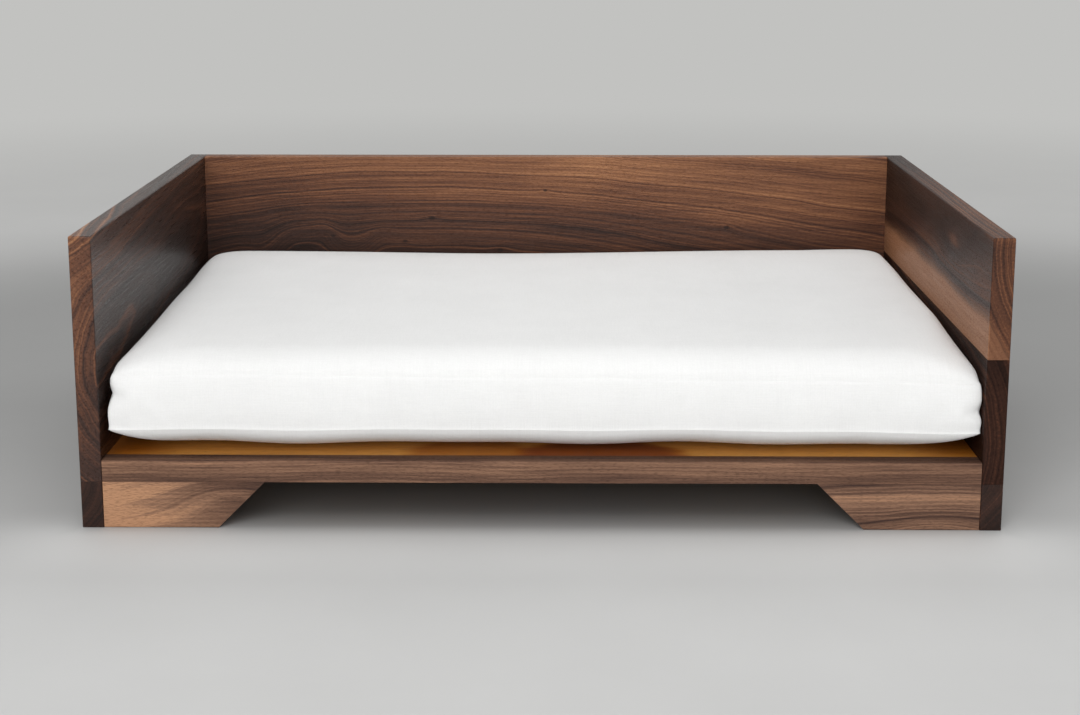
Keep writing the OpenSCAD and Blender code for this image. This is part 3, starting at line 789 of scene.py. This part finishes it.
class CushionGrid:
    """The cover as a box of grid points, and its faces with the panel that each belongs to."""

    def __init__(self):
        xs = lines_across(seam_half_w)
        ys = lines_across(seam_half_d)
        levels = boxing_levels()
        self.count = (len(xs), len(ys), len(levels))
        ends = [(0, n - 1) for n in self.count]
        cells = np.indices(self.count).reshape(3, -1).T
        on_shell = np.any([np.isin(cells[:, axis], ends[axis]) for axis in range(3)], axis=0)
        self.keys = cells[on_shell]
        self.index = -np.ones(self.count, int)
        self.index[tuple(self.keys.T)] = np.arange(len(self.keys))
        square_x = xs[self.keys[:, 0]]
        square_y = ys[self.keys[:, 1]]
        self.x, self.y = rounded(square_x, square_y, np.where(square_y < 0, FRONT_ROUND, 1.0))
        self.edge = from_edge(*rounded(square_x, square_y))
        self.level = levels[self.keys[:, 2]]
        self.at_top = self.keys[:, 2] == self.count[2] - 1
        self.at_bottom = self.keys[:, 2] == 0
        self.at_back = self.keys[:, 1] == self.count[1] - 1
        self.faces = []
        self.panels = []
        self.add_side(2, -1, "top")
        self.add_side(2, 0, "bottom")
        self.add_side(0, 0, "boxing")
        self.add_side(0, -1, "boxing")
        self.add_side(1, 0, "boxing")
        self.add_side(1, -1, self.rear_panels(xs))
        self.faces = np.concatenate(self.faces)
        self.panels = np.concatenate(self.panels)

    def rear_panels(self, xs):
        """The panel of each cell of the back: a strip, the open channel or the boxing."""
        out = np.maximum(abs(xs[:-1]), abs(xs[1:]))[:, None]
        row = np.arange(self.count[2] - 1)
        first = len(BOXING_ROWS)
        return np.select(
            [out > strip_end + TOUCH, row < first, row > first + 1, out < CHANNEL_END],
            ["boxing", "rear low", "rear high", "channel"], "boxing",
        )

    def add_side(self, axis, at, panels):
        """The faces of the side at the first line, 0, or the last, -1, all turned outwards."""
        side = np.take(self.index, at, axis)
        corners = [side[:-1, :-1], side[1:, :-1], side[1:, 1:], side[:-1, 1:]]
        if (axis == 1) == (at == -1):
            corners.reverse()
        self.faces.append(np.stack(corners, 2).reshape(-1, 4))
        self.panels.append(np.broadcast_to(panels, corners[0].shape).ravel())

    def heights(self, along, deep):
        """Z over the grid. along and deep run from -1 to 1 between the seams."""
        forward = 1 - smoothstep(deep, 0.2, 1.0)

        # seams: at the front the upper one falls from left to right, and the lower one at the right
        high = high_seam + (HIGH_SEAM_RISE - HIGH_SEAM_TILT * along) * forward
        low = low_seam - LOW_SEAM_FALL * smoothstep(along, 0.7, 1.0) * forward
        sag = np.sin(29 * self.x + 1.0) + 0.7 * np.sin(47 * self.x + 4 * self.y)
        low -= SEAM_WAVER * sag * forward
        high += SEAM_WAVER * np.sin(23 * self.x + 5 * self.y + 2.0) * forward
        z = low + (high - low) * self.level

        # the top is a little hollow at the back, left of the middle, and fullest at the right
        rear = REAR_RISE + REAR_RIGHT_RISE * smoothstep(along, 0.1, 0.8)
        rear -= REAR_HOLLOW * np.exp(-((along + 0.15) / 0.4) ** 2)
        crown = -CROWN * (1 - quarter(self.edge / 0.2))
        sloping = 1 - quarter((self.y + seam_half_d) / FRONT_SLOPE_REACH)
        top = plateau + crown + rear * (1 - forward) - FRONT_SLOPE * sloping

        # its edge is steeper where it is pressed against a board
        pressed = smoothstep(along, 0.5, 0.9) * smoothstep(deep, -0.95, -0.2)
        pressed = np.maximum(pressed, 0.7 * smoothstep(deep, 0.3, 0.8))
        reach = TOP_REACH + (PRESSED_REACH - TOP_REACH) * pressed
        z = np.where(self.at_top, high + (top - high) * quarter(self.edge / reach), z)
        reach = BOTTOM_REACH * (1 - 0.1 * sag)
        drop = (low - deck_rest) * quarter(self.edge / reach) ** 1.05
        return np.where(self.at_bottom, low - drop, z)

    def spread(self, along, deep):
        """X and Y over the grid, from the cushion's middle."""
        # the sides swell between the seams, and fold in at the middle of the front corners
        centre_x = np.clip(self.x, CORNER_R - seam_half_w, seam_half_w - CORNER_R)
        centre_y = np.clip(self.y, CORNER_R - seam_half_d, seam_half_d - CORNER_R)
        out = np.stack([self.x - centre_x, self.y - centre_y], 1)
        size = np.linalg.norm(out, axis=1)
        out[size > 0] /= size[size > 0][:, None]
        rear = near_seam(self.y, seam_half_d, CORNER_R)
        swell = BOXING_SWELL * np.sin(np.pi * self.level) * (1 - rear)
        corner = smoothstep(abs(along), 0.93, 1.0) * smoothstep(-deep, 0.85, 1.0)
        fold_at = np.where(along < 0, 0.62, 0.42)
        fold = CORNER_FOLD * np.exp(-((self.level - fold_at) / 0.11) ** 2) * corner
        bulge = CORNER_BULGE * np.exp(-((self.level - 0.27) / 0.16) ** 2) * corner
        push = np.where(self.at_top | self.at_bottom, 0, swell - fold + bulge)
        x = self.x + out[:, 0] * push
        y = self.y + out[:, 1] * push

        # the seams draw the sides in between the corners, except at the back, and hardly at the
        # right, where the cushion lies against the side
        fade = np.clip(1 - self.edge / DRAW_FADE, 0, 1)
        draw = np.where(along > 0, 0.15, 1.0) * SEAM_DRAW * (1 - deep ** 2)
        x -= np.sign(self.x) * draw * near_seam(abs(self.x), seam_half_w, DRAW_FADE) * fade
        y += SEAM_DRAW * (1 - along ** 2) * near_seam(-self.y, seam_half_d, DRAW_FADE) * fade

        # it leans on the right board, and on the left one only behind the middle
        x += RIGHT_LEAN * smoothstep(along, 0.5, 1.0) * (1 - 0.5 * smoothstep(deep, 0.5, 1.0))
        lean = smoothstep(deep, -0.6, 0.2) - 0.6 * smoothstep(deep, 0.6, 1.0)
        lean -= 0.3 * smoothstep(-deep, 0.4, 0.85)
        x -= LEFT_LEAN * smoothstep(-along, 0.5, 1.0) * lean

        # below, the front corners stand out, more at the left
        flare = np.where(along < 0, 1.0, 0.2) * LOW_CORNER_SPREAD * corner * (1 - self.level) ** 2
        return x + np.sign(self.x) * flare, y - 0.5 * flare

    def shape(self, shrink=0.0):
        """The cover's shape over the grid, drawn in by shrink all round."""
        along = np.clip(self.x / seam_half_w, -1, 1)
        deep = np.clip(self.y / seam_half_d, -1, 1)
        x, y = self.spread(along, deep)
        points = np.stack([
            x + cushion_middle.x, y + cushion_middle.y, self.heights(along, deep)
        ], 1)
        middle = np.array([cushion_middle.x, cushion_middle.y, (deck_rest + plateau) / 2])
        reach = np.array([seam_half_w, seam_half_d, (plateau - deck_rest) / 2])
        return middle + (points - middle) * (1 - shrink / reach)

    def from_seam(self):
        """How far each point is from the nearest seam, over the cloth."""
        rise = high_seam - low_seam
        up = np.minimum(self.level, 1 - self.level) * rise
        return np.where(self.at_top | self.at_bottom, self.edge, up)


def mesh_from(name, points, faces):
    """A smoothly shaded mesh of these faces and the points that they use."""
    used, renumbered = np.unique(faces, return_inverse=True)
    mesh = bpy.data.meshes.new(name)
    corners = renumbered.reshape(np.shape(faces))
    mesh.from_pydata(points[used].tolist(), [], corners.tolist())
    mesh.validate()
    mesh.shade_smooth()
    return mesh


# Simulation: the cover is blown up as cloth from a slightly smaller shape

START_SMALLER = 0.0005
SHRINK_REACH = 0.004
PANEL_HOLD = 0.3
BOXING_HOLD = 0.12
SIM_FRAMES = 20
SIM_CAP = 0.004
CLOTH = {
    "pin_stiffness": 1.0, "shrink_min": 0.0, "shrink_max": 0.004, "quality": 5, "mass": 0.3,
    "tension_stiffness": 25, "compression_stiffness": 25, "shear_stiffness": 10,
    "bending_stiffness": 0.5, "use_pressure": True, "uniform_pressure_force": 4.0,
}


def weigh(thing, name, weights):
    """Puts points into a vertex group, each with its weight."""
    group = thing.vertex_groups.new(name=name)
    for n in np.flatnonzero(weights > 0):
        group.add([int(n)], float(weights[n]), "REPLACE")
    return name


def blown_up(points, faces, held, seams):
    """The points of a closed cloth after it was blown up. Foam holds back the held ones."""
    blown = add_object("cover_simulation", mesh_from("cover_simulation", points, faces))
    modifier = blown.modifiers.new("cloth", "CLOTH")
    settings = modifier.settings
    settings.vertex_group_mass = weigh(blown, "held", held)
    settings.vertex_group_shrink = weigh(blown, "seams", seams)
    for name, value in CLOTH.items():
        setattr(settings, name, value)
    settings.effector_weights.gravity = 0.0
    modifier.collision_settings.use_collision = False
    modifier.point_cache.frame_start = 1
    modifier.point_cache.frame_end = SIM_FRAMES
    scene = bpy.context.scene
    for number in range(1, SIM_FRAMES + 1):
        scene.frame_set(number)
    shaped = blown.evaluated_get(bpy.context.evaluated_depsgraph_get())
    result = np.empty(len(points) * 3, np.float32)
    shaped.data.vertices.foreach_get("co", result)
    scene.frame_set(1)
    bpy.data.objects.remove(blown)
    return result.reshape(-1, 3).astype(float)


def swelling(grid):
    """How far the simulation moves each point from the drawn shape, within the cap."""
    seams = np.clip(1 - grid.from_seam() / SHRINK_REACH, 0, 1)
    held = np.where(grid.at_top | grid.at_bottom, PANEL_HOLD, BOXING_HOLD)
    held[grid.at_back] = 1.0
    moved = blown_up(grid.shape(START_SMALLER), grid.faces, held, seams)
    away = moved - grid.shape()
    away[grid.at_back] = 0.0
    size = np.linalg.norm(away, axis=1)
    share = np.round(np.percentile(size, (5, 50, 95, 100)) * 1000, 2)
    print("cushion simulation moved points by", share, "mm")
    return away * (SIM_CAP / np.maximum(size, SIM_CAP))[:, None]


def keep_rim_sharp(mesh):
    """Marks the edges of an open panel, so that its shading doesn't run over onto its rim."""
    uses = np.zeros(len(mesh.edges), int)
    for polygon in mesh.polygons:
        for n in polygon.loop_indices:
            uses[mesh.loops[n].edge_index] += 1
    for edge, count in zip(mesh.edges, uses):
        edge.use_edge_sharp = bool(count == 1)


def make_cushion():
    grid = CushionGrid()
    away = swelling(grid)
    points = grid.shape() + away
    inner = grid.shape(WRAP_DEPTH) + away

    # the upper seam pulls its line in between its two panels, and the lower one stands out
    seam = np.exp(-(grid.from_seam() / SEAM_LINE) ** 2)
    seam[grid.at_back & (abs(grid.x) < strip_end)] = 0.0
    centre = np.array([cushion_middle.x, cushion_middle.y, zip_z])
    inward = np.sign(centre - points) * np.array([1.0, 1.0, 0.6])
    inward[:, 0] *= near_seam(abs(grid.x), seam_half_w, SEAM_LINE_FADE)
    inward[:, 1] *= near_seam(abs(grid.y), seam_half_d, SEAM_LINE_FADE)
    depth = np.where(grid.level > 0.5, HIGH_SEAM_IN, -LOW_SEAM_OUT)
    points += inward * (seam * depth)[:, None]
    points[:, 2] = np.maximum(points[:, 2], deck_rest)
    points[:, 0] = np.clip(points[:, 0], WALL_ROOM - inner_x, inner_x - WALL_ROOM)

    cloth = canvas("cover_cloth", colour(245, 245, 244), colour(220, 220, 219))
    for panel, name, node in (
        ("top", "cushion_cover_top", "cover_top_panel"),
        ("bottom", "cushion_cover_bottom", "cover_bottom_panel"),
        ("boxing", "cushion_cover_boxing", "cover_boxing_strip"),
        ("rear high", "cushion_rear_upper_strip", "zip_upper_strip"),
        ("rear low", "cushion_rear_lower_strip", "zip_lower_strip"),
    ):
        mesh = mesh_from(name, points, grid.faces[grid.panels == panel])
        keep_rim_sharp(mesh)
        piece = add_piece(name, mesh, "cushion", cloth, node)
        finer = piece.modifiers.new("finer", "SUBSURF")
        finer.levels = 1
        finer.render_levels = 1
        finer.boundary_smooth = "PRESERVE_CORNERS"
        thick = piece.modifiers.new("thickness", "SOLIDIFY")
        thick.thickness = COVER_THICK
        thick.offset = -1.0
    mesh = mesh_from("fibre_batting", inner, grid.faces)
    batting = add_piece("fibre_batting", mesh, "cushion", polyester_fibre(), "fibre_wrap")
    make_foam()


FOAM_CORNER = 0.020
FOAM_EASE = 0.002


def make_foam():
    """The cushion's core: a slab of foam with sawn round corners."""
    low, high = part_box("foam_core")
    bm = block(low, high)
    upright = [e for e in bm.edges if is_at(e.verts[0].co.z, low.z) != is_at(e.verts[1].co.z, low.z)]
    bevel(bm, upright, FOAM_CORNER, 8, clamp=False)
    rims = [e for e in bm.edges if is_at(e.verts[0].co.z, e.verts[1].co.z)]
    bevel(bm, rims, FOAM_EASE, 2, clamp=False)
    slab = add_solid("foam_slab", bm, "cushion", open_cell_foam(), "foam_core")


# Zip: two tapes behind the channel, a closed coil, end stops, the slider and its pull

TAPE_SLIT = 0.0003
TAPE_EASE = 0.0002
COIL_PITCH = 0.0015
COIL_SIDES = 4
STOP_EASE = 0.0006
SLIDER_WALL = 0.0009
SLIDER_PLAY = 0.0003
SLIDER_L = 0.009
SLIDER_HALF_W = 0.004
SLIDER_TOP = 0.0019
SLIDER_CORNER = 0.0022
CHAIN_PROUD = 0.0006
BRIDGE_L = 0.006
BRIDGE_W = 0.002
BRIDGE_LEG = 0.001
BRIDGE_OPEN = 0.0016
BRIDGE_T = 0.0009
HINGE_R = 0.0006
PULL_T = 0.001
PULL_EYE_L = 0.0042
PULL_EYE_HALF = 0.0015
PULL_ARM = 0.0011
PULL_TAB_W = 0.006
PULL_L = 0.020
PULL_FLARE = 0.0022
METAL_EASE = 0.00018


def extruded(ring, way):
    """A solid whose flat end, given as its points, is drawn out that way."""
    bm = bmesh.new()
    face = bm.faces.new([bm.verts.new(point) for point in ring])
    made = bmesh.ops.extrude_face_region(bm, geom=[face])["geom"]
    bmesh.ops.translate(bm, vec=way, verts=[v for v in made if isinstance(v, bmesh.types.BMVert)])
    bmesh.ops.recalc_face_normals(bm, faces=bm.faces)
    return bm


def plate(outline, low, high):
    """A solid whose outline, in X and Z, runs from one Y to another."""
    return extruded([(x, low, z) for x, z in outline], (0, high - low, 0))


def arc(centre_x, centre_z, radius, start, end, steps):
    angles = [math.radians(start + (end - start) * n / steps) for n in range(steps + 1)]
    return [(centre_x + radius * math.cos(a), centre_z + radius * math.sin(a)) for a in angles]


def add_to_zip(name, parts, material, node, body="cushion"):
    """A piece of the zip, of one or more closed shells."""
    whole = bmesh.new()
    for part in parts:
        mesh = to_mesh(part, "part")
        whole.from_mesh(mesh)
        bpy.data.meshes.remove(mesh)
    add_solid(name, whole, body, material, node)


def make_tapes():
    low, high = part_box("zip_tapes")
    halves = [
        block(low, (high.x, high.y, zip_z - TAPE_SLIT)),
        block((low.x, low.y, zip_z + TAPE_SLIT), high),
    ]
    tape = canvas("zip_tape", colour(238, 237, 232), colour(212, 211, 205), thread=0.0006)
    parts = [softened(half, TAPE_EASE) for half in halves]
    add_to_zip("zip_tape_pair", parts, tape, "zip_tapes")


# along a bar of the coil: the share of its half width, the height off the tape, and the radius
COIL_BAR = (
    (0.88, 0.00045, 0.00030), (0.74, 0.00125, 0.00033), (0.40, 0.00145, 0.00033),
    (0.04, 0.00140, 0.00035), (-0.16, 0.00085, 0.00038),
)


def make_coil():
    """The closed coil: bars from each tape, whose heads lie between those of the other side."""
    low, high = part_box("zip_chain")
    half = (high.z - low.z) / 2
    count = int((high.x - low.x) / COIL_PITCH) - 1
    bm = bmesh.new()
    for side in (-1, 1):
        for n in range(count):
            start = low.x + COIL_PITCH * (n + (0.5 if side < 0 else 1.0))
            rings = []
            for k, (share, rise, radius) in enumerate(COIL_BAR):
                before = COIL_BAR[max(k - 1, 0)]
                after = COIL_BAR[min(k + 1, len(COIL_BAR) - 1)]
                run = Vector(((after[0] - before[0]) * half, after[1] - before[1])).normalized()
                ring = []
                for corner in range(COIL_SIDES):
                    turn = 2 * math.pi * corner / COIL_SIDES
                    aside = radius * math.sin(turn)
                    ring.append(bm.verts.new((
                        start + radius * math.cos(turn),
                        low.y + rise + aside * run.x,
                        zip_z + (share * half - aside * run.y) * side,
                    )))
                rings.append(ring)
            for a, b in zip(rings, rings[1:]):
                for corner in range(COIL_SIDES):
                    after = (corner + 1) % COIL_SIDES
                    bm.faces.new((a[corner], a[after], b[after], b[corner]))
            bm.faces.new(rings[0])
            bm.faces.new(rings[-1])
    bmesh.ops.recalc_face_normals(bm, faces=bm.faces)
    mesh = to_mesh(bm, "zip_coil")
    mesh.shade_smooth()
    add_piece("zip_coil", mesh, "cushion", nylon(), "zip_chain")


def make_stops(material):
    """Two clamps where the zip closes, and one wide stop at its other end."""
    low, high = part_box("zip_end_stops")
    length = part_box("zip_chain")[0].x - low.x
    gap = TAPE_SLIT * 2
    parts = [
        block(low, (low.x + length, high.y, high.z)),
        block((high.x - length, low.y, low.z), (high.x, high.y, zip_z - gap)),
        block((high.x - length, low.y, zip_z + gap), high),
    ]
    add_to_zip("zip_stops", [softened(part, STOP_EASE) for part in parts], material, "zip_end_stops")


def make_slider(material):
    low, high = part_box("zip_slider")
    middle = (low.x + high.x) / 2
    face = rear_face + SLIDER_TOP
    roof = rear_face + CHAIN_PROUD + SLIDER_PLAY
    half_l = SLIDER_L / 2
    shoulder = SLIDER_HALF_W * 0.72 - 0.0004
    corner = middle + half_l - SLIDER_CORNER
    top = plate(
        [(middle - half_l, zip_z - SLIDER_HALF_W), (middle + half_l * 0.35, zip_z - SLIDER_HALF_W)]
        + arc(corner, zip_z - shoulder, SLIDER_CORNER, -75, -5, 6)
        + arc(corner, zip_z + shoulder, SLIDER_CORNER, 5, 75, 6)
        + [(middle + half_l * 0.35, zip_z + SLIDER_HALF_W), (middle - half_l, zip_z + SLIDER_HALF_W)],
        roof, face,
    )
    parts = [softened(top, METAL_EASE * 2)]
    for side in (-1, 1):
        wall = [zip_z + side * SLIDER_HALF_W, zip_z + side * (SLIDER_HALF_W - SLIDER_WALL)]
        far_end = (middle + half_l * 0.8, roof + TOUCH, max(wall))
        parts.append(softened(block((low.x, low.y, min(wall)), far_end), METAL_EASE))
    parts.append(bridge(middle, face))
    add_to_zip("zip_slider_body", parts, material, "zip_slider", body="zip_slider")


def bridge(middle, face):
    """The arch on the slider that the pull hangs from: an outline in X and Y, as wide as it is."""
    under = face + BRIDGE_OPEN
    top = under + BRIDGE_T
    half = BRIDGE_L / 2
    inner = half - BRIDGE_LEG
    outer_r = 0.0012
    inner_r = 0.0005
    outline = (
        [(middle + half, face)]
        + arc(middle + half - outer_r, top - outer_r, outer_r, 0, 90, 5)
        + arc(middle - half + outer_r, top - outer_r, outer_r, 90, 180, 5)
        + [(middle - half, face), (middle - inner, face)]
        + arc(middle - inner + inner_r, under - inner_r, inner_r, 180, 90, 4)
        + arc(middle + inner - inner_r, under - inner_r, inner_r, 90, 0, 4)
        + [(middle + inner, face)]
    )
    ring = [(x, y, zip_z - BRIDGE_W / 2) for x, y in outline]
    return softened(extruded(ring, (0, 0, BRIDGE_W)), METAL_EASE)


def make_pull(material):
    """A bar that turns under the bridge, two arms past it, and a flat tab."""
    low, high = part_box("zip_pull")
    hinge = Vector((high.x - HINGE_R, (low.y + high.y) / 2, zip_z))
    arm = PULL_EYE_HALF + PULL_ARM
    tab_r = PULL_TAB_W / 2
    waist = -PULL_EYE_L - PULL_ARM
    shape = (
        [(0, -PULL_EYE_HALF), (-PULL_EYE_L, -PULL_EYE_HALF), (-PULL_EYE_L, PULL_EYE_HALF),
         (0, PULL_EYE_HALF), (0, arm), (waist, arm), (waist - PULL_FLARE, tab_r)]
        + arc(-PULL_L + tab_r, 0, tab_r, 90, 270, 16)
        + [(waist - PULL_FLARE, -tab_r), (waist, -arm), (0, -arm)]
    )
    outline = [(hinge.x + x, hinge.z + z) for x, z in shape]
    tab = softened(plate(outline, hinge.y - PULL_T / 2, hinge.y + PULL_T / 2), METAL_EASE)
    ring = [(x, y, hinge.z - arm) for x, y in arc(hinge.x, hinge.y, HINGE_R, 0, 337.5, 15)]
    bar = softened(extruded(ring, (0, 0, 2 * arm)), METAL_EASE, 1)
    add_to_zip("zip_pull_tab", [tab, bar], material, "zip_pull", body="zip_pull")


def make_zip():
    zinc = metal("zip_metal", colour(186, 184, 178), 0.3)
    make_tapes()
    make_coil()
    make_stops(zinc)
    make_slider(zinc)
    make_pull(zinc)


# Stage: a pale floor with painted shade round the bed, a plain backdrop colour and soft studio light

BACKDROP = colour(194, 194, 192)
FLOOR_RADIUS = 30.0
EVEN_LIGHT = 0.3


def make_floor():
    """A pale floor, painted darker close to the bed and round it as painted shadow, and painted
    lighter just before it.
    Far off, the eye sees the backdrop's own colour in place of the weak light there."""
    g = new_material("floor")
    place = g.place()
    x, y, _ = g.parts(place)
    mottle = g.noise(place, scale=5.0, detail=4.0, roughness=0.55)
    tint = g.mix(mottle, colour(194, 194, 193), colour(204, 204, 203))
    # painted contact shadow: the floor's colour is darkened under the bed, fading out just past its
    # outline
    close = g.step(g.math("MAXIMUM", abs(x) - half_w, abs(y) - half_d), -0.05, 0.024, 0.47, 1.0)
    # painted light: a strip just before the front of the bed is brightened
    ahead = y * -1.0 - half_d
    lit = g.step(ahead, -0.05, 0.024, 0.0, 0.34) * g.step(ahead, 0.01, 0.13, 1.0, 0.0)
    lit = lit * g.step(abs(x), 0.38, 0.52, 1.0, 0.0) + 1.0
    # painted shade: a wide soft zone round the bed is darkened
    round_bed = g.length(g.vector(x * (1 / 1.6) - y * 0.12 + 0.06, y * 1.1 - 0.49))
    shade = close * lit * g.step(round_bed, 0.45, 1.1, 0.54, 1.0)
    tint = g.mix(1.0, tint, g.vector(shade, shade, shade), blend="MULTIPLY")
    shader = g.add("BsdfPrincipled", {"Base Color": tint, "Roughness": centred(mottle, 0.1) + 0.7})
    glow = g.add("Emission", {"Color": BACKDROP, "Strength": 1.0})
    far = g.step(g.length(place), 0.9, 3.2)
    mixed = g.add("MixShader", {0: g.seen() * far, 1: shader.outputs[0], 2: glow.outputs[0]})
    bm = bmesh.new()
    bmesh.ops.create_circle(bm, cap_ends=True, radius=FLOOR_RADIUS, segments=96)
    floor = add_object("floor", to_mesh(bm, "floor"))
    floor.data.materials.append(g.show(mixed, "OutputMaterial"))


def make_world():
    """An even light, and behind everything a pale colour that only the eye and gloss see."""
    g = Graph(bpy.data.worlds.new("studio"))
    light = g.add("Background", {"Color": (1.0, 1.0, 1.0, 1.0), "Strength": EVEN_LIGHT})
    backdrop = g.add("Background", {"Color": BACKDROP, "Strength": 1.0})
    mixed = g.add("MixShader", {0: g.seen(), 1: light.outputs[0], 2: backdrop.outputs[0]})
    bpy.context.scene.world = g.show(mixed, "OutputWorld")


def make_lights():
    aim = Vector((0.0, 0.0, 0.1))
    for name, place, size, watts in (
        ("key", (-0.8, -3.6, 2.2), 2.6, 91),
        ("fill", (0.5, -3.2, 0.45), 1.8, 30),
        ("overhead", (0.1, 0.5, 2.7), 2.4, 31),
        ("left", (-3.4, 0.3, 0.9), 2.0, 20),
        ("right", (3.4, 0.3, 0.9), 2.0, 20),
    ):
        data = bpy.data.lights.new(name, "AREA")
        data.shape = "SQUARE"
        data.size = size
        data.energy = watts
        lamp = add_object(name, data)
        lamp.location = place
        lamp.rotation_euler = (aim - Vector(place)).to_track_quat("-Z", "Y").to_euler()


make_frame()
dress_hidden_parts()
make_cushion()
make_zip()
make_floor()
make_world()
make_lights()

bpy.context.scene.view_settings.view_transform = "Standard"
